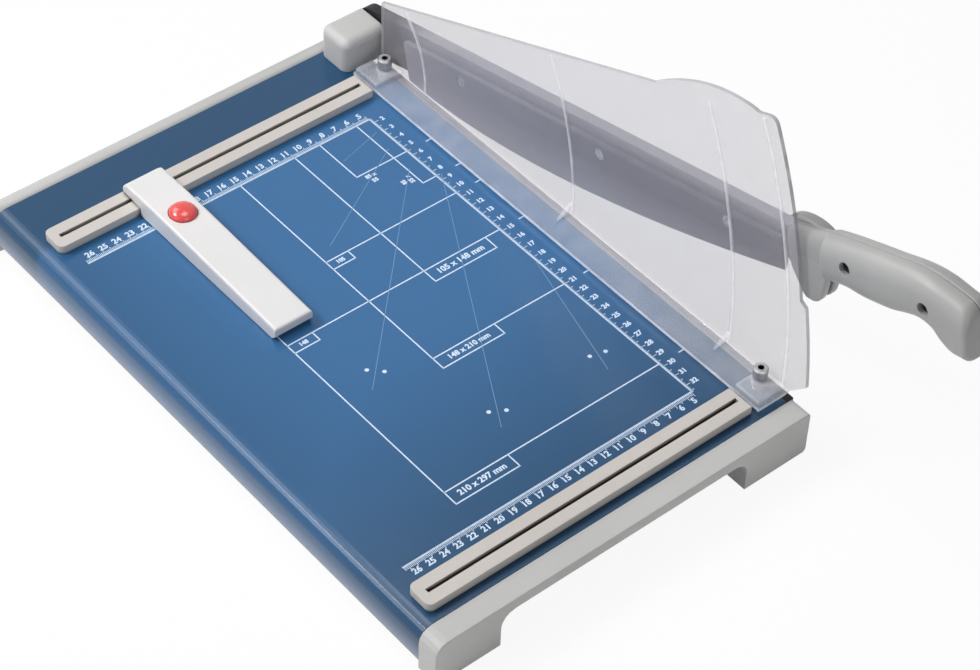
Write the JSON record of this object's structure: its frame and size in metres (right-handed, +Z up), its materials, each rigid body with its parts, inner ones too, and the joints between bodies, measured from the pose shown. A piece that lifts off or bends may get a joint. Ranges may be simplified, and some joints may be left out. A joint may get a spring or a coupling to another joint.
{
  "type": "guillotine paper cutter",
  "caption": "Paper guillotine: flat metal table with format lines, hinged knife arm with a moulded handle, clear guard that clamps the sheets, paper rails and a sliding back stop.",
  "frame": {"origin": "middle of the whole object's footprint, on the plane its rubber feet stand on", "axes": "+X towards the cutting edge and the knife, +Y towards the pivot end, +Z up"},
  "size_m": [0.3064, 0.5586, 0.2259],
  "materials": {
    "blue_paint": "satin blue stove paint",
    "grey_plastic": "fine-grained light grey moulding",
    "handle_grey": "satin grey moulding",
    "rail_plastic": "fine-grained pale warm grey moulding",
    "stop_plastic": "smooth off-white moulding",
    "red_plastic": "gloss red",
    "clear_plastic": "clear, slightly hazy moulding",
    "dark_metal": "blackened steel",
    "ground_steel": "ground steel",
    "zinc": "bright zinc plate",
    "brass": "plain bearing brass",
    "rubber": "black"
  },
  "bodies": {
    "base": {"table_deck": "blue_paint", "end_cap_far": "grey_plastic", "end_cap_near": "grey_plastic", "foot_pad_far_left": "rubber", "foot_pad_far_right": "rubber", "foot_pad_near_left": "rubber", "foot_pad_near_right": "rubber", "cap_screw_far_left": "zinc", "cap_screw_far_right": "zinc", "cap_screw_near_left": "zinc", "cap_screw_near_right": "zinc", "knife_beam": "dark_metal", "counter_blade": "dark_metal", "counter_blade_screw_1": "zinc", "counter_blade_screw_2": "zinc", "counter_blade_screw_3": "zinc", "counter_blade_screw_4": "zinc", "far_rail": "rail_plastic", "far_rail_screw_left": "zinc", "far_rail_screw_right": "zinc", "near_rail": "rail_plastic", "near_rail_screw_left": "zinc", "near_rail_screw_right": "zinc", "pivot_bracket": "dark_metal", "bracket_screw_near": "zinc", "bracket_screw_far": "zinc", "pivot_bolt": "zinc", "pivot_washer": "zinc", "disc_spring": "ground_steel", "lock_nut": "zinc", "pivot_cap": "grey_plastic", "guard_post_far": "zinc", "clamp_spring_far": "ground_steel", "guard_post_near": "zinc", "clamp_spring_near": "ground_steel"},
    "arm": {"knife_blade": "ground_steel", "blade_screw_1": "zinc", "blade_screw_2": "zinc", "blade_screw_3": "zinc", "knife_arm": "dark_metal", "arm_bush": "brass", "handle_left": "handle_grey", "handle_right": "handle_grey", "handle_screw_1": "dark_metal", "handle_screw_2": "dark_metal"},
    "guard": {"safety_guard": "clear_plastic"},
    "backstop": {"backstop_bar": "stop_plastic", "backstop_shoe": "ground_steel", "button_spring": "ground_steel"},
    "button": {"backstop_button": "red_plastic"}
  },
  "joints": [
    {"name": "arm_hinge", "type": "hinge", "parent": "base", "child": "arm", "pos_m": [0.13179, 0.24882, 0.0452], "axis": [1, 0, 0], "range_deg": [-8, 14]},
    {"name": "guard_clamp", "type": "slide", "parent": "base", "child": "guard", "axis": [0, 0, 1], "range_m": [-0.0013, 0.0008], "stiffness_N_per_m": 800, "springref_m": 0.002, "deforming": ["clamp_spring_far", "clamp_spring_near"]},
    {"name": "backstop_slide", "type": "slide", "parent": "base", "child": "backstop", "axis": [1, 0, 0], "range_m": [-0.054, 0.15]},
    {"name": "button_press", "type": "slide", "parent": "backstop", "child": "button", "axis": [0, 0, -1], "range_m": [0, 0.003], "stiffness_N_per_m": 400, "springref_m": -0.002, "deforming": ["button_spring"]}
  ],
  "couplings": [
    {"joint": "guard_clamp", "follows": "arm_hinge", "m_per_rad": -0.005}
  ]
}
